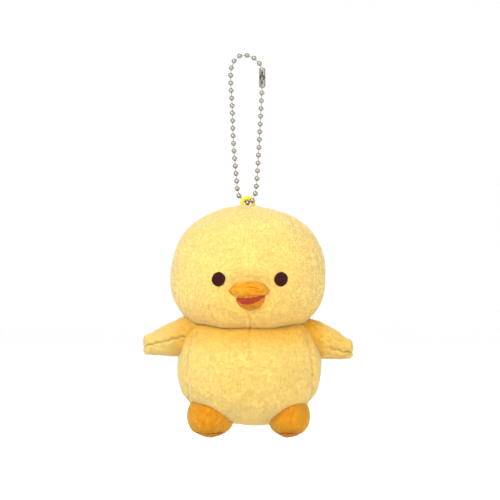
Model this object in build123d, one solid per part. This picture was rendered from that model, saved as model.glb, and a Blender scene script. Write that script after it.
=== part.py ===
from build123d import *
import math
import os

# A stuffed chick hanging from a ball chain. Millimetres, +Z up, the chick's face looks along -Y.
# The origin is at the inside of the top of the chain loop, where a hook or a zip puller bears.

os.makedirs("parts", exist_ok=True)

# --- ball chain -------------------------------------------------------------------------------
bead_radius = 1.2
bead_wall = 0.23
bead_pitch = 3.5
pin_radius = 0.18
pin_clearance = 0.16  # all round a pin, in the hole of a bead
pin_head_overhang = 0.02  # how much larger the pin's head is than the hole, in radius
pin_head_play = 0.16  # between the pin's head and the inside of the bead
loop_half_width = 7.3
connector_inset = 0.6  # from the side of the loop in to the middle of the connector
connector_top = -4.3
connector_length = 9.4
connector_wall = 0.22
connector_end_rounding = 0.9
connector_lip = 0.24  # how far the narrowed ends reach in over the bead behind them
connector_end_clearance = 0.1  # from the end of the connector to the bead behind it
connector_slot_width = 0.7
connector_slot_length = 6.27
upper_fold_z = -24.2
lower_fold_z = -38.3

# --- eyelet ring and its tape -------------------------------------------------------------------
eyelet_z = -66.5
eyelet_tube_radius = 0.925
eyelet_hole_clearance = 0.45  # round a bead that passes through the ring
eyelet_lift = 0.35  # the bead that carries the ring sits this far above the ring's centre
eyelet_bead_clearance = 0.2  # between the ring and the beads on either side of it
tape_width = 1.6
tape_thickness = 0.3
tape_tail = 4.0
pocket_clearance = 0.9  # round the ring and the tape, in the slit on top of the head

# --- fabric and general clearances -----------------------------------------------------------------
fabric = 1.2  # sewn plush cloth without its pile
stuffing_gap = 0.1
bead_gap = 0.05
surface_gap = 0.05

# --- head --------------------------------------------------------------------------------------
head_top_z = -68.5
head_half_width = 34.8
head_half_depth = 28.5
head_half_height = 27.9
eye_spacing = 28.1
eye_width = 6.0
eye_height = 6.6
eye_drop = 4.6
eye_thickness = 0.8
beak_seat_depth = 25.5
beak_width = 17.8
beak_upper_height = 8.7
beak_lower_height = 5.3
beak_top_drop = 4.8  # from the centre of the head down to the top of the beak
beak_upper_middle_drop = 5.4  # from the top of the beak down to its widest part
beak_upper_depth = 6.5
beak_lower_depth = 5.5
beak_lower_width = 13.2
beak_fabric = 1.0
mouth_thickness = 0.35
mouth_inset = 0.5

# --- body --------------------------------------------------------------------------------------
neck_gap = 0.8
body_half_width = 32.8
body_half_depth = 26.0
body_half_height = 21.2
closing_stitch_count = 7
closing_stitch_pitch = 2.0
closing_stitch_length = 2.6
closing_stitch_radius = 0.25

# --- wings -------------------------------------------------------------------------------------
wing_root_radius = 6.5
wing_tip_radius = 3.5
wing_span = 14.5  # between the centres of the root and tip rounds
wing_droop = 17.0  # degrees below level
wing_flatness = 0.65  # thickness over height
wing_seat_angle = 37.8  # degrees up round the body's outline to where the wing is sewn on
wing_gap = 1.2
wing_forward = 2.0

# --- feet --------------------------------------------------------------------------------------
foot_spacing = 35.2
foot_half_width = 10.3
foot_half_length = 11.5
foot_half_height = 7.4
foot_rise = 1.6  # from the lowest point of the body up to the centre of the foot
foot_forward = 4.0
foot_gap = 1.0
sole_depth = 3.0

bead_hole_radius = pin_radius + pin_clearance
pin_head_radius = bead_hole_radius + pin_head_overhang
pin_head_inset = bead_radius - bead_wall - pin_head_play - pin_head_radius
connector_x = loop_half_width - connector_inset
connector_bead_inset = bead_radius + connector_end_clearance
eyelet_ring_radius = bead_radius + eyelet_hole_clearance + eyelet_tube_radius
eyelet_outer_radius = eyelet_ring_radius + eyelet_tube_radius
head_centre_z = head_top_z - head_half_height
body_centre_z = head_centre_z - head_half_height - neck_gap - body_half_height
tape_bend_z = eyelet_z - eyelet_ring_radius


def pod(size, place, growth=0.0):
    """A stuffed pod with the given half sizes, grown outwards or shrunk inwards all round."""
    return Pos(*place) * scale(Sphere(1), by=tuple(half + growth for half in size))


def cover(size, place, side):
    """The part of a pod's sewn cover that lies inside a large box."""
    return (pod(size, place) & side) - (pod(size, place, -fabric) & side)


def pod_skin(size, across, height):
    """The point on a pod's outline at a height above its centre, and the way out of it there.

    Across is the pod's half size along the outline's level direction."""
    half_height = size[2]
    out = across * math.sqrt(1 - (height / half_height) ** 2)
    way = Vector(out / across**2, 0, height / half_height**2).normalized()
    return Vector(out, 0, height), way


def block(low, high):
    """A box between two corners."""
    centre = [(a + b) / 2 for a, b in zip(low, high)]
    sizes = [b - a for a, b in zip(low, high)]
    return Pos(*centre) * Box(*sizes)


def far(low=(-1, -1, -1), high=(1, 1, 1), reach=400.0):
    """A very large box, cut off at the planes that are given in place of plus or minus one."""
    low_corner = [reach * v if v == -1 else v for v in low]
    high_corner = [reach * v if v == 1 else v for v in high]
    return block(low_corner, high_corner)


def keep(node, shape):
    """Write one node's solids to its STEP file."""
    solids = shape.solids() if hasattr(shape, "solids") else ShapeList(shape)
    export_step(Compound(children=list(solids)), os.path.join("parts", node + ".step"))


# --- ball chain ---------------------------------------------------------------------------------
def chain_runs():
    """The lines through the bead centres: down the left strand to the bead that carries the ring,
    then up the right strand to the other end of the connector."""
    side = loop_half_width
    top_end = connector_top - connector_bead_inset
    bottom_end = connector_top - connector_length + connector_bead_inset
    carry_z = eyelet_z + eyelet_lift
    beside = eyelet_tube_radius + bead_radius + eyelet_bead_clearance
    left = [
        (connector_x, 0, top_end),
        (side - 1.9, 0, -2.4),
        (0.0, 0, bead_radius),
        (-3.6, 0, 1.0),
        (-side + 0.1, 0, -3.6),
        (-side - 0.4, 0, -7.2),
        (-side + 0.2, 0, -21.3),
        (-side + 0.8, 0, -38.0),
        (-side + 1.4, 0, -46.0),
        (-side + 2.0, 0, -53.0),
        (-side + 2.5, 0.1, -58.5),
        (-3.9, 0.7, carry_z + 3.1),
    ]
    behind_ring = (-2.0, beside, carry_z + 1.3)
    carry = (0.0, 0, carry_z)
    before_ring = (2.3, -beside, carry_z + 1.1)
    right = [
        (3.6, -1.5, carry_z + 4.3),
        (4.15, -0.3, -57.5),
        (4.5, 0, -52.5),
        (4.9, 0, -46.0),
        (5.9, 0, -28.0),
        (connector_x, 0, bottom_end),
    ]
    return Spline(*left, behind_ring, carry), Spline(carry, before_ring, *right)


def bead(centre, neighbours):
    """A hollow bead with a hole facing each neighbour."""
    along = neighbours[-1] - neighbours[0] if len(neighbours) > 1 else neighbours[0] - centre
    # the seam of the sphere is turned to the side, away from the holes
    turned = Plane((0, 0, 0), x_dir=Vector(0, 1, 0).cross(along), z_dir=(0, 1, 0))
    shell = turned * (Sphere(bead_radius) - Sphere(bead_radius - bead_wall))
    for other in neighbours:
        hole = Plane((0, 0, 0), z_dir=other - centre) * Cylinder(
            bead_hole_radius, 2 * bead_radius, align=(Align.CENTER, Align.CENTER, Align.MIN)
        )
        shell -= hole
    return Pos(centre) * shell


def pin(start, end):
    """The double-headed pin that joins two beads."""
    way = (end - start).normalized()
    length = (end - start).length - 2 * pin_head_inset
    shaft = Cylinder(pin_radius, length, align=(Align.CENTER, Align.CENTER, Align.MIN))
    heads = Sphere(pin_head_radius) + Pos(0, 0, length) * Sphere(pin_head_radius)
    return Plane(start + way * pin_head_inset, z_dir=way) * (shaft + heads)


def connector_sleeve():
    """A rolled sleeve with narrowed ends, a slot down its front and a gate for the end beads."""
    inner = bead_radius + bead_gap
    outer = inner + connector_wall
    sleeve = Cylinder(outer, connector_length)
    sleeve = fillet(sleeve.edges().filter_by(GeomType.CIRCLE), connector_end_rounding)
    cavity = Cylinder(inner, connector_length - 2 * connector_wall)
    cavity_rounding = connector_end_rounding - connector_wall
    cavity = fillet(cavity.edges().filter_by(GeomType.CIRCLE), cavity_rounding)
    mouth = Cylinder(bead_radius - connector_lip, 2 * connector_length)
    slot = block(
        (-connector_slot_width / 2, -2 * outer, -connector_slot_length / 2),
        (connector_slot_width / 2, 0, connector_slot_length / 2),
    )
    gate = Rot(90, 0, 0) * Cylinder(inner, 2 * outer, align=(Align.CENTER, Align.CENTER, Align.MIN))
    centre = (connector_x, 0, connector_top - connector_length / 2)
    return Pos(*centre) * (sleeve - cavity - mouth - slot - gate)


left_run, right_run = chain_runs()
left_gaps = round(left_run.length / bead_pitch)
right_gaps = round(right_run.length / bead_pitch)
beads = [left_run.position_at(i / left_gaps) for i in range(left_gaps + 1)]
beads += [right_run.position_at((i + 1) / right_gaps) for i in range(right_gaps)]
groups = {"top": [], "middle": [], "lower": []}
pins = {"top": [], "middle": [], "lower": []}


def chain_part(height):
    """Which length of the chain a height belongs to."""
    if height > upper_fold_z:
        return "top"
    return "middle" if height > lower_fold_z else "lower"


for i, centre in enumerate(beads):
    near = [beads[j] for j in (i - 1, i + 1) if 0 <= j < len(beads)]
    groups[chain_part(centre.Z)].append(bead(centre, near))
for i in range(left_gaps + right_gaps):
    ends = [beads[i].Z, beads[i + 1].Z]
    # a pin that crosses a fold on the left strand goes with the upper length, on the right strand
    # with the lower one, so that both pivot in the holes nearest the fold
    height = max(ends) if i < left_gaps else min(ends)
    pins[chain_part(height)].append(pin(beads[i], beads[i + 1]))
for part_name in groups:
    keep("chain_beads_" + part_name, Compound(children=groups[part_name]))
    keep("chain_pins_" + part_name, Compound(children=pins[part_name]))
keep("connector_sleeve", connector_sleeve())

# --- eyelet ring and tape ---------------------------------------------------------------------------
eyelet = Pos(0, 0, eyelet_z) * (Rot(90, 0, 0) * Torus(eyelet_ring_radius, eyelet_tube_radius))
keep("eyelet_ring", eyelet)

tape_inner = (
    eyelet_z
    - math.sqrt((eyelet_ring_radius - eyelet_tube_radius) ** 2 - (tape_width / 2) ** 2)
    - tape_bend_z
    + bead_gap
)
tape_outer = tape_inner + tape_thickness
tape_bend = Rot(0, 90, 0) * (Cylinder(tape_outer, tape_width) - Cylinder(tape_inner, tape_width))
tape = tape_bend & far(low=(-1, -1, 0))
for side in (-1, 1):
    leg_inner, leg_outer = sorted((side * tape_inner, side * tape_outer))
    tape += block((-tape_width / 2, leg_inner, -tape_tail), (tape_width / 2, leg_outer, 0))
keep("anchor_tape", Pos(0, 0, tape_bend_z) * tape)

# --- head ------------------------------------------------------------------------------------------
head_size = (head_half_width, head_half_depth, head_half_height)
head_place = (0, 0, head_centre_z)
pocket_bottom = tape_bend_z - tape_tail - 2 * stuffing_gap
pocket_half_width = eyelet_outer_radius + pocket_clearance
pocket_half_depth = tape_outer + pocket_clearance
pocket = block(
    (-pocket_half_width, -pocket_half_depth, pocket_bottom),
    (pocket_half_width, pocket_half_depth, head_centre_z + 2 * head_half_height),
)
quarters = {
    "head_front_left": far(high=(0, 0, 1)),
    "head_front_right": far(low=(0, -1, -1), high=(1, 0, 1)),
    "head_back_left": far(low=(-1, 0, -1), high=(0, 1, 1)),
    "head_back_right": far(low=(0, 0, -1)),
}
for node, quarter in quarters.items():
    keep(node + "_panel", cover(head_size, head_place, quarter) - pocket)
keep("head_stuffing", pod(head_size, head_place, -fabric - stuffing_gap) - pocket)

eye_z = head_centre_z - eye_drop
head_skin = pod(head_size, head_place, surface_gap)
eye_layer = pod(head_size, head_place, eye_thickness) - head_skin
for name, side in (("eye_left", -1), ("eye_right", 1)):
    disc = extrude(Plane.XZ * Ellipse(eye_width / 2, eye_height / 2), 2 * head_half_depth)
    keep(name, eye_layer & (Pos(side * eye_spacing / 2, 0, eye_z) * disc))

beak_top_z = head_centre_z - beak_top_drop
beak_parting_z = beak_top_z - beak_upper_height


def beak_pod(half_width, depth, half_height, centre_z, shrink=0.0):
    """A rounded beak lobe whose middle lies just inside the face."""
    return pod((half_width, depth, half_height), (0, -beak_seat_depth, centre_z), -shrink)


beak_lobes = {
    "upper": (
        beak_width / 2,
        beak_upper_depth,
        beak_upper_middle_drop,
        beak_top_z - beak_upper_middle_drop,
        far(low=(-1, -1, beak_parting_z)),
    ),
    "lower": (
        beak_lower_width / 2,
        beak_lower_depth,
        beak_lower_height,
        beak_parting_z,
        far(high=(1, 1, beak_parting_z - mouth_thickness)),
    ),
}
for lobe, (half_width, depth, half_height, centre_z, side) in beak_lobes.items():
    lobe_outer = beak_pod(half_width, depth, half_height, centre_z)
    lobe_inner = beak_pod(half_width, depth, half_height, centre_z, beak_fabric)
    lobe_core = beak_pod(half_width, depth, half_height, centre_z, beak_fabric + stuffing_gap)
    keep("beak_" + lobe + "_cover", (lobe_outer - lobe_inner - head_skin) & side)
    keep("beak_" + lobe + "_stuffing", (lobe_core - head_skin) & side)
mouth_layer = far(
    low=(-1, -1, beak_parting_z - mouth_thickness + surface_gap),
    high=(1, 1, beak_parting_z - surface_gap),
)
mouth_outline = beak_pod(
    beak_lower_width / 2, beak_lower_depth, beak_lower_height, beak_parting_z, mouth_inset
)
keep("mouth_thread", (mouth_outline - head_skin) & mouth_layer)

# --- body ------------------------------------------------------------------------------------------
body_size = (body_half_width, body_half_depth, body_half_height)
body_place = (0, 0, body_centre_z)
panels = {
    "body_front": far(high=(1, 0, 1)),
    "body_back_left": far(low=(-1, 0, -1), high=(0, 1, 1)),
    "body_back_right": far(low=(0, 0, -1)),
}
for node, side in panels.items():
    keep(node + "_panel", cover(body_size, body_place, side))
keep("body_stuffing", pod(body_size, body_place, -fabric - stuffing_gap))

stitches = []
for i in range(closing_stitch_count):
    drop = (i + 1) * closing_stitch_pitch
    seam, out = pod_skin(body_size, body_half_depth, -drop)
    clear_y = seam.X + (closing_stitch_radius + 2 * surface_gap) / out.X
    stitch = Rot(0, 90, 0) * Cylinder(closing_stitch_radius, closing_stitch_length)
    stitches.append(Pos(0, clear_y, body_centre_z - drop) * stitch)
keep("closing_stitches", Compound(children=stitches))


# --- wings -----------------------------------------------------------------------------------------
def wing_pod(shrink=0.0):
    """A tapered round-ended wing along +X from the centre of its root, flattened in Y."""
    root = wing_root_radius - shrink
    tip = wing_tip_radius - shrink
    slope = math.asin((root - tip) / wing_span)
    root_middle = (math.pi + math.pi / 2 - slope) / 2
    tip_middle = (math.pi / 2 - slope) / 2
    root_end = (root * math.sin(slope), root * math.cos(slope))
    tip_start = (wing_span + tip * math.sin(slope), tip * math.cos(slope))
    root_way = (root * math.cos(root_middle), root * math.sin(root_middle))
    tip_way = (wing_span + tip * math.cos(tip_middle), tip * math.sin(tip_middle))
    edge = [
        ThreePointArc((-root, 0), root_way, root_end),
        Line(root_end, tip_start),
        ThreePointArc(tip_start, tip_way, (wing_span + tip, 0)),
        Line((wing_span + tip, 0), (-root, 0)),
    ]
    flatness = (wing_root_radius * wing_flatness - shrink) / root
    turned = revolve(Plane.XZ * make_face(edge), Axis.X)
    return Rot(0, wing_droop, 0) * scale(turned, by=(1, flatness, 1))


wing_rise = body_half_height * math.sin(math.radians(wing_seat_angle))
shoulder, shoulder_out = pod_skin(body_size, body_half_width, wing_rise)
wing_root = shoulder + shoulder_out * (wing_gap + wing_root_radius)
wing_outer = wing_pod()
wing_shell = wing_outer - wing_pod(fabric)
wing_core = wing_pod(fabric + stuffing_gap)
for name, side in (("wing_left", -1), ("wing_right", 1)):
    place = Pos(side * wing_root.X, -wing_forward, body_centre_z + wing_root.Z)
    pieces = {
        "_front_panel": wing_shell & far(high=(1, 0, 1)),
        "_back_panel": wing_shell & far(low=(-1, 0, -1)),
        "_stuffing": wing_core,
    }
    for ending, piece in pieces.items():
        sided = piece if side > 0 else mirror(piece, about=Plane.YZ)
        keep(name + ending, place * sided)

# --- feet ------------------------------------------------------------------------------------------
# Each foot is cut off by a plane that lies a small gap outside the bottom of the body.
foot_size = (foot_half_width, foot_half_length, foot_half_height)
foot_x = foot_spacing / 2
foot_z = body_centre_z - body_half_height + foot_rise
sole_top_z = foot_z - foot_half_height + sole_depth
foot_cut_reach = 4 * foot_half_length  # a cutting box that is larger than the foot every way
seat_height = -body_half_height * math.sqrt(1 - (foot_x / body_half_width) ** 2)
seat, seat_out = pod_skin(body_size, body_half_width, seat_height)
for name, side in (("foot_left", -1), ("foot_right", 1)):
    foot_place = (side * foot_x, -foot_forward, foot_z)
    way = Vector(side * seat_out.X, 0, seat_out.Z)
    touch = Vector(side * seat.X, 0, body_centre_z + seat.Z)
    below_seat = far(high=(1, 1, 0), reach=foot_cut_reach)
    over_cut = Plane(touch + way * foot_gap, z_dir=way) * below_seat
    core_cut = Plane(touch + way * (foot_gap + fabric), z_dir=way) * below_seat
    foot_shell = pod(foot_size, foot_place) - pod(foot_size, foot_place, -fabric) - over_cut
    foot_core = pod(foot_size, foot_place, -fabric - stuffing_gap) - core_cut
    keep(name + "_upper", foot_shell & far(low=(-1, -1, sole_top_z)))
    keep(name + "_sole", foot_shell & far(high=(1, 1, sole_top_z)))
    keep(name + "_stuffing", foot_core)

# --- places that the joints use ------------------------------------------------------------------------
left_strand = beads[:left_gaps]
right_strand = beads[left_gaps + 1 :]
for fold_name, fold_z in (("upper fold", upper_fold_z), ("lower fold", lower_fold_z)):
    left_below = max(b.Z for b in left_strand if b.Z < fold_z)
    right_above = min(b.Z for b in right_strand if b.Z > fold_z)
    print(fold_name, round((left_below + right_above) / 2, 3), round(right_above - left_below, 3))
print("beads", len(beads))
print("left pitch", round(left_run.length / left_gaps, 3))
print("right pitch", round(right_run.length / right_gaps, 3))
print("carrying bead", [round(v, 3) for v in beads[left_gaps]])
print("tape bend z", round(tape_bend_z, 3))
print("neck z", round(body_centre_z + body_half_height + neck_gap / 2, 3))
wing_pivot = shoulder + shoulder_out * (wing_gap / 2)
print("wing pivot", round(wing_pivot.X, 3), round(body_centre_z + wing_pivot.Z, 3))
foot_pivot = seat + seat_out * (foot_gap / 2)
print("foot pivot", round(foot_pivot.X, 3), round(body_centre_z + foot_pivot.Z, 3))
print("body centre z", round(body_centre_z, 3))
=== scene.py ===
import math

import bpy
import numpy as np
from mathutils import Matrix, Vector


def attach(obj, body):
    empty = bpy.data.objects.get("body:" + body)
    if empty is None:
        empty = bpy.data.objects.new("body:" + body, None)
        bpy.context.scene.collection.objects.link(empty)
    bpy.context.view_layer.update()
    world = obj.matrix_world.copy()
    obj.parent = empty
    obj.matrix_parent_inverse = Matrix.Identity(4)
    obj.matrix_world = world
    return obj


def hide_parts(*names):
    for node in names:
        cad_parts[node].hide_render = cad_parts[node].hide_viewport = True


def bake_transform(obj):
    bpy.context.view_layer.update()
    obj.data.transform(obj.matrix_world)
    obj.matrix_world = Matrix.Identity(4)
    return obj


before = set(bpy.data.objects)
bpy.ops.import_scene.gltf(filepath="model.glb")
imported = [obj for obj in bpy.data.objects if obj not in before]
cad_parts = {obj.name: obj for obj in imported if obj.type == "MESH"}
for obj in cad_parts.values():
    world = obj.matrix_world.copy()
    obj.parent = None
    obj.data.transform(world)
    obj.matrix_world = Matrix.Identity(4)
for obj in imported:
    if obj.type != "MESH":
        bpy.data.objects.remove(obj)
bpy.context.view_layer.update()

# A stuffed chick on a ball chain. Sizes here are millimetres in the frame's own axes.
MM = 0.001
FULL = 1.0  # share of the pile that is grown

# --- sizes of the sewn covers ---------------------------------------------------------------------
HEAD = dict(centre=(0.25, 0, -99.2), width=35.0, depth=28.8, up=31.2, down=26.6,
            side_up=2.15, side_down=2.6, front_up=2.2, front_down=2.75)
BODY = dict(centre=(0.8, 0, -141.3), width=32.5, depth=26.4, up=25.0, down=26.2,
            side_up=3.2, side_down=2.2, front_up=1.8, front_down=2.2)
FOOT = dict(depth=12.8, up=9.3, down=9.3, side_up=2.3, side_down=2.1, front_up=2.3, front_down=2.2)
FOOT_Y, FOOT_Z = -3.5, -163.6
FOOT_PLACES = {"left": (-16.9, 10.4), "right": (18.9, 9.4)}  # middle and half width of each foot
SOLE_SEAM_Z = -171.0
BEAK_UPPER = dict(centre=(0.6, -24.9, -106.1), width=9.5, depth=7.4, up=5.1, down=3.8,
                  side_up=1.65, side_down=1.9, front_up=1.8, front_down=2.1)
BEAK_LOWER = dict(centre=(1.3, -24.6, -109.3), width=7.0, depth=6.6, up=3.4, down=5.5,
                  side_up=2.2, side_down=1.75, front_up=2.2, front_down=1.9)
EYE_X, EYE_Z, EYE_WIDTH, EYE_HEIGHT = 14.05, -100.9, 5.8, 6.5
FACE_X = 1.0  # the face sits this far to the right of the middle of the chain
GATHER_X = 0.8  # middle of the cloth gathered round the beak
BEAK_BACK_Y = -24.0  # behind this the beak lies inside the face
NECK_TOP_Z = -119.5  # above this the body lies inside the head
SIDES = {"left": -1, "right": 1}
# where each wing's outline is: out from the middle, middle height, half height, half thickness
WINGS = {
    "left": [(20.0, -125.0, 9.0, 6.0), (28.0, -126.9, 9.0, 5.4), (34.0, -128.3, 7.7, 4.9),
             (40.0, -129.7, 6.0, 4.2), (44.6, -130.7, 4.5, 3.2), (47.5, -131.2, 0.0, 0.0)],
    "right": [(20.0, -126.3, 8.8, 6.0), (28.0, -128.2, 8.8, 5.4), (34.0, -129.3, 8.0, 4.9),
              (40.0, -130.9, 6.4, 4.2), (45.2, -132.6, 4.3, 3.2), (47.9, -133.0, 0.0, 0.0)],
}
WING_Y = -2.0  # the wings' middle, front to back
LUMP = 1.5  # wavelength of the finest unevenness in the cloth of the large covers
SEAM_STITCH = 2.2  # length of one stitch in the body's seams
EYE_ROWS = 15  # of stitches
MOUTH_ROWS = 6  # of stitches
CLOSING_STITCHES, CLOSING_STEP, CLOSING_TOP_Z = 9, 2.6, -132.0
FLOOR_Z, FLOOR_REACH, FLOOR_RISE = -200.0, 5000.0, 4500.0


# --- numbers --------------------------------------------------------------------------------------
def waves(points, wavelength, seed, count=14):
    """Smooth random values from about -1 to 1, with bumps about one wavelength apart."""
    rng = np.random.default_rng(seed)
    ways = rng.normal(size=(count, 3))
    ways /= np.linalg.norm(ways, axis=1)[:, None]
    turns = 2 * math.pi / (wavelength * rng.uniform(0.75, 1.35, count))
    phases = rng.uniform(0, 2 * math.pi, count)
    total = np.sin(points @ (ways * turns[:, None]).T + phases).sum(axis=1)
    return total / math.sqrt(count)


def bump(distance, width):
    """A smooth hump of height 1 at distance 0."""
    return np.exp(-((distance / width) ** 2))


def ramp(value, low, high):
    """0 below low, 1 above high, smooth in between."""
    t = np.clip((value - low) / (high - low), 0, 1)
    return t * t * (3 - 2 * t)


def through(knots, values, at):
    """A smooth curve through the given values, read at other places."""
    knots, values = np.array(knots, float), np.array(values, float)
    slopes = np.gradient(values, knots)
    i = np.clip(np.searchsorted(knots, at) - 1, 0, len(knots) - 2)
    span = knots[i + 1] - knots[i]
    t = (at - knots[i]) / span
    return ((2 * t**3 - 3 * t**2 + 1) * values[i] + (t**3 - 2 * t**2 + t) * span * slopes[i]
            + (3 * t**2 - 2 * t**3) * values[i + 1] + (t**3 - t**2) * span * slopes[i + 1])


# --- meshes ---------------------------------------------------------------------------------------
def mesh_object(name, points, faces, material):
    """A mesh object from points in millimetres and faces of equal size."""
    faces = np.asarray(faces, dtype=np.int32)
    mesh = bpy.data.meshes.new(name)
    mesh.vertices.add(len(points))
    mesh.vertices.foreach_set("co", (np.asarray(points) * MM).astype(np.float32).ravel())
    mesh.loops.add(faces.size)
    mesh.loops.foreach_set("vertex_index", faces.ravel())
    mesh.polygons.add(len(faces))
    starts = np.arange(0, faces.size, faces.shape[1], dtype=np.int32)
    mesh.polygons.foreach_set("loop_start", starts)
    mesh.polygons.foreach_set("use_smooth", np.full(len(faces), True))
    mesh.update(calc_edges=True)
    mesh.validate()
    mesh.materials.append(material)
    piece = bpy.data.objects.new(name, mesh)
    bpy.context.scene.collection.objects.link(piece)
    return piece


def read_points(piece):
    """A piece's points in millimetres."""
    data = np.empty(len(piece.data.vertices) * 3, dtype=np.float32)
    piece.data.vertices.foreach_get("co", data)
    return data.reshape(-1, 3).astype(float) / MM


def read_normals(piece):
    """The outward direction at each of a piece's points."""
    data = np.empty(len(piece.data.vertices) * 3, dtype=np.float32)
    piece.data.vertices.foreach_get("normal", data)
    return data.reshape(-1, 3).astype(float)


def write_points(piece, points):
    """Move a piece's points to places given in millimetres."""
    piece.data.vertices.foreach_set("co", (points * MM).astype(np.float32).ravel())
    piece.data.update()


def paint(piece, shade, painted_shade_and_tone):
    """Store how light and how deep in colour the cloth is at each point, both of them painted shade over
    random tone, for the material to read.
    """
    for name, values in (("shade", shade), ("painted_shade_and_tone", painted_shade_and_tone)):
        layer = piece.data.attributes.new(name, "FLOAT", "POINT")
        layer.data.foreach_set("value", np.asarray(values, dtype=np.float32))


def grid_faces(rings, around, first=0):
    """Quads, as pairs of triangles, between closed rings of points."""
    ring, step = np.meshgrid(np.arange(rings - 1), np.arange(around), indexing="ij")
    a = first + ring * around + step
    b = first + ring * around + (step + 1) % around
    c, d = b + around, a + around
    return np.concatenate([np.stack([a, b, c], -1).reshape(-1, 3),
                           np.stack([a, c, d], -1).reshape(-1, 3)])


def closed_tube(rings_points):
    """Points and faces of a skin over rings of points, closed at both ends by one point each."""
    rings, around = rings_points.shape[:2]
    points = rings_points.reshape(-1, 3)
    start, end = rings_points[0].mean(axis=0), rings_points[-1].mean(axis=0)
    points = np.vstack([points, start, end])
    step = np.arange(around)
    after = (step + 1) % around
    last = (rings - 1) * around
    low = np.stack([np.full(around, rings * around), after, step], -1)
    high = np.stack([np.full(around, rings * around + 1), last + step, last + after], -1)
    return points, np.concatenate([grid_faces(rings, around), low, high])


def share(height, power):
    """1 at height 0 and 0 at height 1 or -1, along a rounded outline: a higher power is squarer."""
    return np.clip(1 - np.abs(height) ** power, 0, 1) ** (1 / power)


def pod_shares(size, height):
    """Shares of a pod's width and depth at heights from -1 to 1."""
    upper = height >= 0
    side = np.where(upper, share(height, size["side_up"]), share(height, size["side_down"]))
    front = np.where(upper, share(height, size["front_up"]), share(height, size["front_down"]))
    return side, front


def pod_rings(size, rings, around):
    """Rings of points, bottom to top, over a rounded pod."""
    angle = np.linspace(-math.pi / 2, math.pi / 2, rings + 2)[1:-1]
    height = np.sin(angle)
    side, front = pod_shares(size, height)
    reach = np.where(height >= 0, size["up"], size["down"])
    turn = np.linspace(0, 2 * math.pi, around, endpoint=False)
    x = size["centre"][0] + size["width"] * side[:, None] * np.cos(turn)
    y = size["centre"][1] + size["depth"] * front[:, None] * np.sin(turn)
    z = size["centre"][2] + (reach * height)[:, None] + 0 * turn
    return np.stack([x, y, z], -1)


def pod_front(size, x, z):
    """The y of a pod's front at a place inside its outline."""
    height = (z - size["centre"][2]) / np.where(z > size["centre"][2], size["up"], size["down"])
    side, front = pod_shares(size, height)
    across = np.clip((x - size["centre"][0]) / (size["width"] * side + 1e-9), -1, 1)
    return size["centre"][1] - size["depth"] * front * np.sqrt(1 - across**2)


def thread(path, radius, around=8):
    """Rings of points round a path, narrowed at both ends."""
    path = np.asarray(path, float)
    way = np.gradient(path, axis=0)
    way /= np.linalg.norm(way, axis=1)[:, None]
    aside = np.cross(way, (0.13, 0.97, 0.21))
    aside /= np.linalg.norm(aside, axis=1)[:, None]
    up = np.cross(way, aside)
    taper = np.sqrt(np.clip(1 - np.linspace(-0.97, 0.97, len(path)) ** 6, 0, 1))
    turn = np.linspace(0, 2 * math.pi, around, endpoint=False)
    ring = (aside[:, None] * np.cos(turn)[:, None] + up[:, None] * np.sin(turn)[:, None])
    return path[:, None] + ring * (radius * taper)[:, None, None]


def join_skins(skins):
    """One set of points and faces from several."""
    points, faces, first = [], [], 0
    for skin_points, skin_faces in skins:
        points.append(skin_points)
        faces.append(skin_faces + first)
        first += len(skin_points)
    return np.vstack(points), np.vstack(faces)


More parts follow.
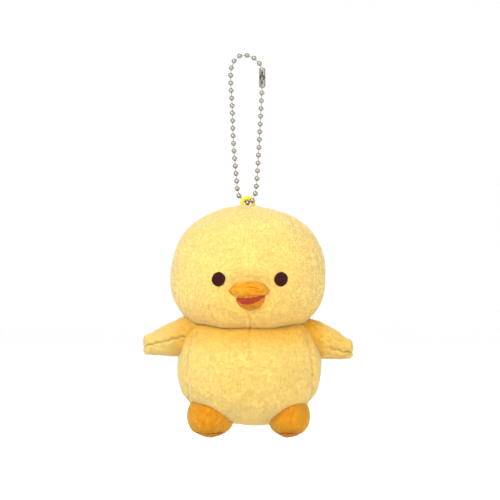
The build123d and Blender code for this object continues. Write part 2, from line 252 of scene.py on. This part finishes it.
def pile(name, cloth, material, count, length, spread, seed, bare, painted_shade_and_tone):
    """Short tufts all over a piece of cloth, each a closed spike, brushed downwards."""
    root_depth = 0.12
    lean_ahead, lean_change = 0.38, 0.1
    nap_tilt, nap_change = 0.22, 0.10
    # The roots are painted darker than the tips, as painted shade deep in the pile; the last number is
    # the random change in tone from tuft to tuft.
    root_shade, tip_shade, tone_change = 0.95, 1.0, 0.02
    rng = np.random.default_rng(seed)
    mesh = cloth.data
    mesh.calc_loop_triangles()
    corners = np.empty(len(mesh.loop_triangles) * 3, dtype=np.int32)
    mesh.loop_triangles.foreach_get("vertices", corners)
    corners = corners.reshape(-1, 3)
    points, normals = read_points(cloth), read_normals(cloth)
    a, b, c = (points[corners[:, k]] for k in range(3))
    area = np.linalg.norm(np.cross(b - a, c - a), axis=1)
    pick = rng.choice(len(area), size=int(count * FULL), p=area / area.sum())
    u, v = rng.random(len(pick)), rng.random(len(pick))
    flip = u + v > 1
    u[flip], v[flip] = 1 - u[flip], 1 - v[flip]
    root = a[pick] + (b - a)[pick] * u[:, None] + (c - a)[pick] * v[:, None]
    out = normals[corners[pick]].mean(axis=1)
    out /= np.linalg.norm(out, axis=1)[:, None]
    if bare is not None:
        kept = rng.random(len(root)) > bare(root)
        root, out = root[kept], out[kept]
    brush = np.stack([0.25 * waves(root, 22.0, seed + 1), 0.2 * waves(root, 18.0, seed + 2),
                      -0.9 + 0.2 * waves(root, 26.0, seed + 3)], -1)
    brush += rng.normal(scale=0.3, size=brush.shape)
    brush -= out * (brush * out).sum(axis=1)[:, None]
    lean = lean_ahead + 0.02 * waves(root, 6.0, seed + 4) + rng.normal(scale=lean_change, size=len(root))
    way = out + brush * lean[:, None]
    way /= np.linalg.norm(way, axis=1)[:, None]
    reach = length * rng.uniform(0.75, 1.15, len(root)) * (1 + 0.03 * waves(root, 3.0, seed + 5))
    aside = np.cross(out, rng.normal(size=out.shape))
    aside /= np.linalg.norm(aside, axis=1)[:, None]
    across = np.cross(out, aside)
    base = root - out * root_depth
    spikes = [base + spread * (aside * math.cos(t) + across * math.sin(t))
              for t in (0, 2 * math.pi / 3, 4 * math.pi / 3)]
    spikes.append(root + way * reach[:, None])
    points = np.stack(spikes, 1).reshape(-1, 3)
    first = np.arange(len(root), dtype=np.int32)[:, None, None] * 4
    faces = (first + np.array([[0, 1, 3], [1, 2, 3], [2, 0, 3], [0, 2, 1]])).reshape(-1, 3)
    piece = mesh_object(name, points, faces, material)
    # the tufts catch light much as the cloth under them does, so they read as one soft nap
    nap = out + nap_tilt * way + rng.normal(scale=nap_change, size=out.shape)
    nap /= np.linalg.norm(nap, axis=1)[:, None]
    piece.data.normals_split_custom_set_from_vertices(np.repeat(nap, 4, axis=0).tolist())
    # each tuft: a random tone, its roots darker as painted shade, and the painted shade of the cover
    # where it grows
    tone = 1 + rng.normal(scale=tone_change, size=len(root))
    shade = np.stack([root_shade * tone] * 3 + [tip_shade * tone], 1).ravel()
    paint(piece, shade, np.repeat(painted_shade_and_tone(root), 4))
    return piece


# --- materials ------------------------------------------------------------------------------------
def linear(red, green, blue):
    """A screen colour as the renderer's own."""
    return tuple((v / 255 / 12.92 if v <= 10 else ((v / 255 + 0.055) / 1.055) ** 2.4)
                 for v in (red, green, blue)) + (1.0,)


def new_material(name):
    """A material with its main shader, its nodes and its links."""
    material = bpy.data.materials.new(name)
    material.use_nodes = True
    shader = material.node_tree.nodes["Principled BSDF"]
    return material, shader, material.node_tree.nodes, material.node_tree.links


def noise_node(nodes, links, scale, detail):
    """Cloudy noise fixed to the piece, with about scale patches to the metre."""
    place = nodes.new("ShaderNodeTexCoord")
    noise = nodes.new("ShaderNodeTexNoise")
    noise.inputs["Scale"].default_value = scale
    noise.inputs["Detail"].default_value = detail
    links.new(place.outputs["Object"], noise.inputs["Vector"])
    return noise


def mix_node(nodes, links, factor, first, second, kind="MIX"):
    """The colour between two others, each of them a value or another node's output."""
    mix = nodes.new("ShaderNodeMix")
    mix.data_type = "RGBA"
    mix.blend_type = kind
    for socket, value in ((mix.inputs[0], factor), (mix.inputs[6], first), (mix.inputs[7], second)):
        if isinstance(value, bpy.types.NodeSocket):
            links.new(value, socket)
        else:
            socket.default_value = value
    return mix.outputs[2]


def bump_node(nodes, links, shader, height, strength, distance):
    """Fine unevenness in how a surface takes the light."""
    node = nodes.new("ShaderNodeBump")
    node.inputs["Strength"].default_value = strength
    node.inputs["Distance"].default_value = distance
    links.new(height, node.inputs["Height"])
    links.new(node.outputs["Normal"], shader.inputs["Normal"])


def plush_material(name, colour, shade_and_tone_colour, sheen):
    """Short pile: mottled dye, a soft sheen, and no gloss."""
    material, shader, nodes, links = new_material(name)
    patches = noise_node(nodes, links, 90.0, 3.0)
    fine = noise_node(nodes, links, 1700.0, 2.0)
    # Two stored attributes bring painted shade, with a little random tone, into the dye: a mix towards
    # the deeper colour, and a darkening.
    painted_shade_and_tone = nodes.new("ShaderNodeAttribute")
    painted_shade_and_tone.attribute_name = "painted_shade_and_tone"
    shade = nodes.new("ShaderNodeAttribute")
    shade.attribute_name = "shade"
    dye_and_painted_shade = mix_node(nodes, links, painted_shade_and_tone.outputs["Fac"], colour, shade_and_tone_colour)
    mottle = nodes.new("ShaderNodeMapRange")
    mottle.inputs["To Min"].default_value = 0.95
    mottle.inputs["To Max"].default_value = 1.03
    links.new(patches.outputs["Fac"], mottle.inputs["Value"])
    dye_and_painted_shade = mix_node(nodes, links, 1.0, dye_and_painted_shade, mottle.outputs["Result"], "MULTIPLY")
    # darker by the stored lightness: painted shade at the tuft roots and under the pile, with random
    # tone
    dye_and_painted_shade = mix_node(nodes, links, 1.0, dye_and_painted_shade, shade.outputs["Fac"], "MULTIPLY")
    links.new(dye_and_painted_shade, shader.inputs["Base Color"])
    shader.inputs["Roughness"].default_value = 1.0
    shader.inputs["Specular IOR Level"].default_value = 0.1
    shader.inputs["Sheen Weight"].default_value = sheen
    shader.inputs["Sheen Roughness"].default_value = 0.6
    shader.inputs["Subsurface Weight"].default_value = 0.35
    shader.inputs["Subsurface Radius"].default_value = (1.0, 0.6, 0.25)
    shader.inputs["Subsurface Scale"].default_value = 0.0025
    bump_node(nodes, links, shader, fine.outputs["Fac"], 0.35, 0.0002)
    return material


def thread_material(name, colour, dark):
    """Twisted embroidery thread with a slight shine."""
    material, shader, nodes, links = new_material(name)
    fine = noise_node(nodes, links, 2600.0, 3.0)
    links.new(mix_node(nodes, links, fine.outputs["Fac"], dark, colour), shader.inputs["Base Color"])
    shader.inputs["Roughness"].default_value = 0.6
    shader.inputs["Specular IOR Level"].default_value = 0.12
    bump_node(nodes, links, shader, fine.outputs["Fac"], 0.4, 0.0001)
    return material


def steel_material():
    """Bright nickel plate with faint handling marks."""
    material, shader, nodes, links = new_material("nickel_plate")
    marks = noise_node(nodes, links, 900.0, 6.0)
    worn = nodes.new("ShaderNodeMapRange")
    worn.inputs["To Min"].default_value = 0.14
    worn.inputs["To Max"].default_value = 0.34
    links.new(marks.outputs["Fac"], worn.inputs["Value"])
    links.new(worn.outputs["Result"], shader.inputs["Roughness"])
    tint = mix_node(nodes, links, marks.outputs["Fac"], linear(128, 124, 114), linear(178, 174, 164))
    links.new(tint, shader.inputs["Base Color"])
    shader.inputs["Metallic"].default_value = 1.0
    bump_node(nodes, links, shader, marks.outputs["Fac"], 0.08, 0.0001)
    return material


def ring_material():
    """Saturated yellow moulded plastic."""
    material, shader, nodes, links = new_material("yellow_plastic")
    cloud = noise_node(nodes, links, 500.0, 3.0)
    links.new(mix_node(nodes, links, cloud.outputs["Fac"], linear(248, 196, 4), linear(255, 216, 20)),
              shader.inputs["Base Color"])
    shader.inputs["Roughness"].default_value = 0.38
    bump_node(nodes, links, shader, cloud.outputs["Fac"], 0.1, 0.0001)
    return material


# The second colour of each plush is the deeper one that its painted shade, with a little tone, mixes
# towards.
YELLOW = plush_material("yellow_plush", linear(251, 216, 122), linear(244, 178, 44), 0.22)
ORANGE = plush_material("orange_plush", linear(234, 152, 24), linear(176, 78, 8), 0.1)
BEAK = plush_material("beak_plush", linear(238, 164, 30), linear(206, 104, 16), 0.1)
BROWN = thread_material("eye_thread", linear(62, 14, 14), linear(34, 6, 6))
RED = thread_material("mouth_thread", linear(176, 68, 42), linear(132, 42, 24))
BEAK_SEAM = thread_material("beak_thread", linear(212, 126, 26), linear(190, 98, 16))
# thread along the sole's real seam, darkened as painted shade in the seam's crease
SOLE_SEAM_SHADE_ORANGE = thread_material("foot_seam_thread_and_shade", linear(176, 84, 14), linear(128, 52, 8))
SEAM_YELLOW = thread_material("yellow_thread", linear(244, 202, 96), linear(226, 172, 62))
STEEL = steel_material()
PLASTIC = ring_material()


# --- covers ---------------------------------------------------------------------------------------
def beak_patch(points):
    """True on the face under the beak."""
    x = (points[:, 0] - BEAK_UPPER["centre"][0]) / (BEAK_UPPER["width"] * 0.9)
    z = (points[:, 2] - (BEAK_UPPER["centre"][2] - 2.5)) / 6.2
    return (x**2 + z**2 < 1) & (points[:, 1] < 0)


def eye_patch(points):
    """True on the face under either eye."""
    hit = np.zeros(len(points), bool)
    for side in (-1, 1):
        x = (points[:, 0] - FACE_X - side * EYE_X) / (EYE_WIDTH / 2 * 1.02)
        z = (points[:, 2] - EYE_Z) / (EYE_HEIGHT / 2 * 1.02)
        hit |= (x**2 + z**2 < 1) & (points[:, 1] < 0)
    return hit


def crease(points, start, end, width):
    """How near each point is to a line seen from the front: 1 on it, 0 away from it."""
    start, end = np.array(start, float), np.array(end, float)
    flat = points[:, [0, 2]] - start
    along = end - start
    t = np.clip(flat @ along / (along @ along), 0, 1)
    return bump(np.linalg.norm(flat - t[:, None] * along, axis=1), width)


def head_relief(points):
    """Seam grooves, the gathered cloth over the beak, and the lumps of the filling."""
    front = points[:, 1] < 0
    middle = points[:, 0] - 0.9 * ramp(-points[:, 2], 99, 120) - 0.2
    relief = 0.30 * waves(points, 17.0, 11) + 0.015 * waves(points, LUMP, 12, 30)
    seam = ramp(-points[:, 2], 72, 80) * (0.35 + 0.65 * ramp(-points[:, 2], 105, 112))
    relief -= 0.5 * bump(middle, 0.45) * seam
    relief += 0.15 * bump(np.abs(middle) - 1.2, 0.8) * seam
    over_beak = ((points[:, 0] - GATHER_X) / 8.0) ** 2 + ((points[:, 2] + 98.4) / 3.2) ** 2
    puckers = 0.22 * np.sin(points[:, 2] * 3.1 + 0.06 * (points[:, 0] - GATHER_X) ** 2)
    relief += (1.2 + puckers) * np.exp(-over_beak) * front
    round_beak = ((points[:, 0] - GATHER_X) / 11.0) ** 2 + ((points[:, 2] + 107.0) / 8.5) ** 2
    relief -= 0.8 * bump(round_beak - 0.75, 0.4) * front
    relief -= 0.7 * crease(points, (-18.3, -114.0), (-13.8, -121.0), 0.7) * front
    relief -= 0.3 * bump(points[:, 1] - 1.5, 0.5) * ramp(-points[:, 2], 70, 76)
    return relief


def side_seams(points, beside, width):
    """1 along the seams down both sides of the body's front, or the distance beside outside them."""
    curve = 29.0 - 0.009 * (points[:, 2] + 144.0) ** 2
    off = np.abs(points[:, 0] - BODY["centre"][0]) - curve - beside
    reach = ramp(points[:, 2], -163.0, -157.0) * ramp(-points[:, 2], 122.0, 132.0)
    return bump(off, width) * reach * (points[:, 1] < 0)


def body_relief(points):
    """The front dart, the side seams, the back seam and the lumps of the filling."""
    front = points[:, 1] < 0
    middle = points[:, 0] - BODY["centre"][0]
    relief = 0.32 * waves(points, 15.0, 21) + 0.015 * waves(points, LUMP, 22, 30)
    dart = ramp(points[:, 2], -139.5, -132.0) * front
    stitches = 0.5 + 0.5 * np.sin(points[:, 2] * 2 * math.pi / SEAM_STITCH)
    relief -= (0.35 + 0.35 * stitches) * bump(middle, 0.8) * dart
    relief += 0.15 * bump(np.abs(middle) - 1.8, 1.0) * dart
    relief -= 0.5 * bump(np.hypot(middle, points[:, 2] + 137.0), 0.9) * front
    relief -= (0.9 + 0.25 * stitches) * side_seams(points, 0.0, 0.7)
    relief += 0.3 * side_seams(points, 1.6, 0.9)
    relief -= 0.5 * bump(middle, 0.55) * ~front
    return relief


def foot_size(name):
    """The pod of one foot."""
    middle, half_width = FOOT_PLACES[name]
    return dict(FOOT, centre=(middle, FOOT_Y, FOOT_Z), width=half_width)


def cloth(name, rings_points, relief, material, painted_shade_and_tone, seed):
    """A sewn and filled cover: its skin, moved in and out along its normals."""
    points, faces = closed_tube(rings_points)
    piece = mesh_object(name, points, faces, material)
    points, normals = read_points(piece), read_normals(piece)
    write_points(piece, points + normals * relief(points)[:, None])
    # The skin under the pile is painted darker than the tufts, as painted shade beneath them, with a
    # faint random tone; the cover's own function adds more painted shade.
    paint(piece, 0.88 + 0.02 * waves(points, 2.0, seed), painted_shade_and_tone(points))
    return piece


# How far each point of a cover is mixed towards the deeper colour, from 0 to 1: mostly painted shade,
# over a faint even tint.
def head_painted_shade(points):
    """Painted shade at the chin, round the beak and a little to the right, away from the key light, over
    a faint even tint.
    """
    low = ramp(-points[:, 2], 104, 124) * 0.42
    near_beak = ((points[:, 0] - GATHER_X) / 12.0) ** 2 + ((points[:, 2] + 106.0) / 9.0) ** 2
    right = 0.12 * ramp(points[:, 0], 5.0, 30.0)
    return np.clip(low + right + 0.5 * np.exp(-near_beak) * (points[:, 1] < 0) + 0.04, 0, 1)


def body_painted_shade(points):
    """Painted shade at the neck under the head, at the hem, a little to the right, away from the key
    light, and in the side seams; warmer in the middle of the front; over a faint even tint.
    """
    neck = ramp(points[:, 2], -138.0, -122.0) * 0.8
    hem = ramp(-points[:, 2], 160.0, 168.0) * 0.25
    right = 0.1 * ramp(points[:, 0], 5.0, 28.0)
    middle = 0.12 * bump(np.hypot(points[:, 0] - 2.0, points[:, 2] + 146.0), 20.0)
    return np.clip(neck + hem + right + middle + 0.1 * side_seams(points, 0.0, 0.8) + 0.1, 0, 1)


def wing_painted_shade(points):
    """Painted shade towards the body, and more on the right wing, away from the key light, over a faint
    even tint.
    """
    near_body = 0.65 * ramp(-np.abs(points[:, 0]), -40.0, -27.0)
    right = 0.3 * ramp(points[:, 0], 20.0, 25.0)
    return np.clip(0.12 + near_body + right, 0, 1)


def foot_painted_shade(points):
    """Painted shade at the sole and where the foot meets the body."""
    return 0.75 * ramp(-points[:, 2], 167.5, 173.0) + 0.15 * ramp(points[:, 2], -164.0, -158.0)


def sewn_pod(name, size, relief, material, painted_shade_and_tone, detail, seed):
    """A cover over a rounded pod, detail being its rings and the points round each."""
    return cloth(name, pod_rings(size, *detail), relief, material, painted_shade_and_tone, seed)


def wing_rings(stations, side, rings=70, around=90):
    """Rings of points from inside the body out to the tip of a wing."""
    out, middle, high, thick = np.array(stations).T
    share_out = np.sin(np.linspace(0, math.pi / 2, rings))
    at = out[0] + (out[-1] - 0.02 - out[0]) * share_out
    past = np.clip((at - out[-2]) / (out[-1] - out[-2]), 0, 1)
    blunt = (1 - past**4) ** 0.45
    flat_high = through(out[:-1], high[:-1], np.minimum(at, out[-2]))
    flat_thick = through(out[:-1], thick[:-1], np.minimum(at, out[-2]))
    centre = through(out, middle, at)
    turn = -side * np.linspace(0, 2 * math.pi, around, endpoint=False)
    x = side * at[:, None] + 0 * turn
    y = WING_Y + (flat_thick * blunt)[:, None] * np.sin(turn)
    z = centre[:, None] + (flat_high * blunt)[:, None] * np.cos(turn)
    return np.stack([x, y, z], -1)


def wing_relief(side):
    """A wavy hand-sewn crease along the front of a wing."""
    def relief(points):
        out = np.abs(points[:, 0])
        front = (points[:, 1] < WING_Y) | (out > 45.8)
        if side > 0:
            line = -134.5 + 0.3 * (44.7 - out) * (out < 44.7) + 0.1 * (out - 44.7) * (out > 44.7)
            kept = ramp(out, 35.0, 40.0)
        else:
            line = -131.9 + 0.25 * np.clip(48.0 - out, 0, None)
            kept = ramp(out, 26.0, 30.0)
        wavy = line + 0.25 * np.sin(out * 1.7)
        groove = bump(points[:, 2] - wavy, 0.5) * kept * front
        lip = bump(points[:, 2] - wavy - 1.3, 0.9) * kept * front * ramp(-out, -46.0, -43.0)
        lumps = 0.16 * waves(points, 9.0, 31) + 0.02 * waves(points, LUMP, 32, 30)
        return lumps - 1.0 * groove + 0.3 * lip
    return relief


def foot_relief(points):
    """The seam round the sole and the lumps of the filling."""
    groove = bump(points[:, 2] - SOLE_SEAM_Z, 0.4)
    return 0.18 * waves(points, 8.0, 41) + 0.03 * waves(points, 1.4, 42, 30) - 0.35 * groove


def beak_relief(points):
    """Gathers that the hand stitching leaves across the top of the beak."""
    folds = np.sin(points[:, 2] * 2.6 + 0.5 * np.sin(points[:, 0] * 0.7))
    high = ramp(points[:, 2], -107.0, -103.5)
    return 0.22 * folds * high + 0.10 * waves(points, 3.2, 51) + 0.05 * waves(points, 1.2, 52, 30)


def beak_painted_shade_and_tone(points):
    """Painted shade at the bottom and the sides, with random tone, over a faint even tint."""
    low = 0.55 * ramp(-points[:, 2], 108.0, 113.5)
    sides = 0.3 * ramp(np.abs(points[:, 0] - GATHER_X), 5.0, 9.0)
    return np.clip(0.12 + low + sides + 0.15 * waves(points, 3.0, 53), 0, 1)


pieces = {}
pieces["head_cover"] = sewn_pod("head_cover", HEAD, head_relief, YELLOW, head_painted_shade, (170, 260), 1)
pieces["body_cover"] = sewn_pod("body_cover", BODY, body_relief, YELLOW, body_painted_shade, (170, 260), 2)
pieces["beak_upper"] = sewn_pod("beak_upper", BEAK_UPPER, beak_relief, BEAK, beak_painted_shade_and_tone, (70, 110), 3)
pieces["beak_lower"] = sewn_pod("beak_lower", BEAK_LOWER, beak_relief, BEAK, beak_painted_shade_and_tone, (60, 90), 4)
for name, side in SIDES.items():
    pieces["wing_" + name] = cloth("wing_" + name + "_cover", wing_rings(WINGS[name], side),
                                   wing_relief(side), YELLOW, wing_painted_shade, 5)
    pieces["foot_" + name] = sewn_pod("foot_" + name + "_cover", foot_size(name), foot_relief,
                                      ORANGE, foot_painted_shade, (80, 120), 6)

# --- pile -----------------------------------------------------------------------------------------
# The share of the tufts left out at each point of a cover: 1 where there are none.
def head_bare(points):
    """None under the beak and the eyes."""
    return (beak_patch(points) | eye_patch(points)).astype(float)


def body_bare(points):
    """None inside the neck."""
    return (points[:, 2] > NECK_TOP_Z).astype(float)


def beak_bare(points):
    """None inside the face."""
    return (points[:, 1] > BEAK_BACK_Y).astype(float)


pieces["head_pile"] = pile("head_pile", pieces["head_cover"], YELLOW, 49000, 0.5, 0.3, 101,
                           head_bare, head_painted_shade)
pieces["body_pile"] = pile("body_pile", pieces["body_cover"], YELLOW, 47000, 0.5, 0.3, 102,
                           body_bare, body_painted_shade)
for i, lobe in enumerate(("upper", "lower")):
    pieces["beak_" + lobe + "_pile"] = pile("beak_" + lobe + "_pile", pieces["beak_" + lobe], BEAK,
                                            3200, 0.4, 0.2, 110 + i, beak_bare, beak_painted_shade_and_tone)
for i, name in enumerate(SIDES):
    pieces["wing_" + name + "_pile"] = pile("wing_" + name + "_pile", pieces["wing_" + name], YELLOW,
                                            11000, 0.48, 0.28, 120 + i, None, wing_painted_shade)
    pieces["foot_" + name + "_pile"] = pile("foot_" + name + "_pile", pieces["foot_" + name], ORANGE,
                                            9500, 0.48, 0.26, 130 + i, None, foot_painted_shade)


# --- embroidery and seams -------------------------------------------------------------------------
def on_head(x, z, lift):
    """Points that stand a little in front of the face."""
    x, z = np.asarray(x, float), np.asarray(z, float)
    return np.stack([x, pod_front(HEAD, x, z) - lift, z], -1)


def embroidered_eye(name, side):
    """Rows of satin stitch over a padded oval."""
    skins = []
    centre_x = FACE_X + side * EYE_X
    for i in range(EYE_ROWS):
        across = (i + 0.5) / EYE_ROWS * 2 - 1
        half = EYE_HEIGHT / 2 * math.sqrt(1 - across**2)
        steps = np.linspace(-1, 1, 15)
        x = centre_x + across * EYE_WIDTH / 2 + 0.12 * steps
        z = EYE_Z + half * steps * (1 + 0.02 * math.sin(7.3 * i))
        lift = 0.25 + 0.75 * np.sqrt(np.clip(1 - across**2, 0, 1)) * (1 - 0.75 * steps**4)
        skins.append(closed_tube(thread(on_head(x, z, lift), 0.34)))
    turn = np.linspace(0, 2 * math.pi, 49)[:-1]
    levels = []
    for size, lift in ((0.35, -1.5), (0.96, -1.2), (0.98, 0.2), (0.8, 0.75), (0.4, 0.95)):
        levels.append(on_head(centre_x + size * EYE_WIDTH / 2 * np.cos(turn),
                              EYE_Z + size * EYE_HEIGHT / 2 * np.sin(turn), lift))
    skins.append(closed_tube(np.array(levels)))
    return mesh_object(name, *join_skins(skins), BROWN)


for name, side in SIDES.items():
    pieces["eye_" + name] = embroidered_eye("eye_" + name + "_stitching", side)


def mouth_front(x, z):
    """How far forward the nearer of the two beak lobes stands."""
    return np.minimum(pod_front(BEAK_UPPER, x, z), pod_front(BEAK_LOWER, x, z))


def mouth_stitching():
    """Rows of satin stitch that curve along the gap of the beak."""
    skins = []
    for i in range(MOUTH_ROWS):
        steps = np.linspace(0, 1, 25)
        row = (i - (MOUTH_ROWS - 1) / 2) / MOUTH_ROWS
        x = -5.0 + 13.0 * steps
        width = 2.9 * np.sin(math.pi * steps**0.75) ** 0.8
        z = -109.6 - 1.3 * np.sin(math.pi * steps**0.8) + 1.4 * steps**2 + row * width
        z += 0.12 * np.sin(9.0 * x + 2.1 * i)
        y = mouth_front(x, z) - 0.3
        skins.append(closed_tube(thread(np.stack([x, y, z], -1), 0.32)))
    return mesh_object("mouth_stitching", *join_skins(skins), RED)


def beak_stitching():
    """Three rows of thread that gather the top of the beak."""
    skins = []
    for row_z, low, high in ((-103.0, -3.4, 3.6), (-104.3, -1.6, 5.2), (-105.6, -0.2, 4.6)):
        x = np.linspace(low, high, 19) + GATHER_X
        z = row_z - 0.05 * (x - GATHER_X) ** 2 + 0.08 * np.sin(3 * x)
        y = pod_front(BEAK_UPPER, x, z) - 0.18
        skins.append(closed_tube(thread(np.stack([x, y, z], -1), 0.16)))
    return mesh_object("beak_stitches", *join_skins(skins), BEAK_SEAM)


def closing_stitching():
    """The stitches that close the seam down the back."""
    skins = []
    for i in range(CLOSING_STITCHES):
        z = CLOSING_TOP_Z - CLOSING_STEP * i
        x = BODY["centre"][0] + np.linspace(-1.3, 1.3, 9)
        y = -pod_front(BODY, x, np.full(9, z)) + 0.15
        skins.append(closed_tube(thread(np.stack([x, y, z + 0.35 * np.linspace(-1, 1, 9)], -1), 0.2)))
    return mesh_object("back_closing_stitches", *join_skins(skins), SEAM_YELLOW)


pieces["mouth"] = mouth_stitching()
pieces["beak_stitches"] = beak_stitching()
pieces["closing_stitches"] = closing_stitching()


def sole_seam(name):
    """The bound edge round the sole of a foot, its thread dark as painted shade in the seam's crease."""
    foot = foot_size(name)
    height = (SOLE_SEAM_Z - FOOT_Z) / foot["down"]
    wide = foot["width"] * share(np.array(height), foot["side_down"])
    deep = foot["depth"] * share(np.array(height), foot["front_down"])
    turn = np.linspace(0, 2 * math.pi, 121)[:-1]
    minor = np.linspace(0, 2 * math.pi, 9)[:-1]
    radius = 0.26 + 0.05 * np.sin(turn * 26)
    ring_x = foot["centre"][0] + (wide + radius[:, None] * np.cos(minor)) * np.cos(turn)[:, None]
    ring_y = foot["centre"][1] + (deep + radius[:, None] * np.cos(minor)) * np.sin(turn)[:, None]
    ring_z = SOLE_SEAM_Z + radius[:, None] * np.sin(minor)
    rings = np.stack([ring_x, ring_y, ring_z], -1)
    rings = np.concatenate([rings, rings[:1]])
    return mesh_object("sole_seam_" + name, rings.reshape(-1, 3), grid_faces(len(rings), 8), SOLE_SEAM_SHADE_ORANGE)


for name in SIDES:
    pieces["sole_seam_" + name] = sole_seam(name)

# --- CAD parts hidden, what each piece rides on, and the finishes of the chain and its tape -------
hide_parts("head_front_left_panel", "head_front_right_panel",
            "head_back_left_panel", "head_back_right_panel", "head_stuffing")
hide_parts("beak_upper_cover", "beak_upper_stuffing")
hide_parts("beak_lower_cover", "beak_lower_stuffing")
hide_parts("mouth_thread")
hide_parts("body_front_panel", "body_back_left_panel",
            "body_back_right_panel", "body_stuffing")
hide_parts("closing_stitches")
for name in SIDES:
    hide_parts("eye_" + name)
    wing = "wing_" + name
    foot = "foot_" + name
    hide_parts(wing + "_front_panel", wing + "_back_panel", wing + "_stuffing")
    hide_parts(foot + "_upper", foot + "_sole", foot + "_stuffing")

for key in ("head_cover", "head_pile", "beak_upper", "beak_lower", "beak_upper_pile",
            "beak_lower_pile", "mouth", "beak_stitches", "eye_left", "eye_right"):
    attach(pieces[key], "head")
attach(pieces["closing_stitches"], "torso")
for key in ("body_cover", "body_pile"):
    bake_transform(pieces[key])
for name, side in SIDES.items():
    for key in ("wing_" + name, "wing_" + name + "_pile"):
        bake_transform(pieces[key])
    for key in ("foot_" + name, "foot_" + name + "_pile", "sole_seam_" + name):
        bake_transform(pieces[key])

for node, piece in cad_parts.items():
    if node.startswith("chain_") or node == "connector_sleeve":
        finish = STEEL
    elif node == "eyelet_ring":
        finish = PLASTIC
    elif node == "anchor_tape":
        finish = SEAM_YELLOW
    else:
        continue
    for slot in piece.material_slots:
        slot.material = finish


# --- stage, light and camera ----------------------------------------------------------------------
def white_bowl():
    """A wide pale floor that rises gently far away, all round."""
    rings, around = 24, 96
    turn = np.linspace(0, 2 * math.pi, around, endpoint=False)
    out = np.linspace(0, 1, rings + 1)[1:]
    radius = FLOOR_REACH * out
    height = FLOOR_Z + FLOOR_RISE * ramp(out, 0.55, 1.3)
    points = np.stack([radius[:, None] * np.cos(turn), radius[:, None] * np.sin(turn),
                       height[:, None] + 0 * turn], -1).reshape(-1, 3)
    points = np.vstack([points, (0, 0, FLOOR_Z)])
    step = np.arange(around)
    centre = np.stack([np.full(around, len(points) - 1), (step + 1) % around, step], -1)
    material, shader, nodes, links = new_material("pale_floor")
    grain = noise_node(nodes, links, 4.0, 2.0)
    links.new(mix_node(nodes, links, grain.outputs["Fac"], linear(250, 250, 250), linear(253, 253, 253)),
              shader.inputs["Base Color"])
    shader.inputs["Roughness"].default_value = 0.9
    floor = mesh_object("floor", points, np.concatenate([grid_faces(rings, around), centre]), material)


def area_light(name, place, size, power):
    lamp = bpy.data.lights.new(name, "AREA")
    lamp.shape = "DISK"
    lamp.size = size
    lamp.energy = power
    holder = bpy.data.objects.new(name, lamp)
    holder.location = place
    aim = Vector((0, 0, -0.12)) - Vector(place)
    holder.rotation_euler = aim.to_track_quat("-Z", "Y").to_euler()
    bpy.context.scene.collection.objects.link(holder)


white_bowl()
area_light("key", (-0.55, -1.1, 0.75), 0.8, 13.0)
area_light("fill", (0.8, -0.9, 0.2), 1.2, 4.0)
area_light("back", (0.3, 1.1, 0.7), 0.9, 5.0)

world = bpy.data.worlds.new("studio")
world.use_nodes = True
world.node_tree.nodes["Background"].inputs["Color"].default_value = (1, 1, 1, 1)
world.node_tree.nodes["Background"].inputs["Strength"].default_value = 1.0
scene = bpy.context.scene
scene.world = world
scene.view_settings.view_transform = "Standard"
scene.view_settings.look = "None"

VIEW_WIDTH = 0.22875  # metres across the picture at the object
DISTANCE = 1.4
camera_data = bpy.data.cameras.new("camera")
camera_data.sensor_width = 36.0
camera_data.lens = 36.0 * DISTANCE / VIEW_WIDTH
camera_data.clip_end = 100.0
camera = bpy.data.objects.new("camera", camera_data)
camera.location = (0.0011, -DISTANCE, -0.0878)
camera.rotation_euler = (math.pi / 2, 0, 0)
scene.collection.objects.link(camera)
scene.camera = camera
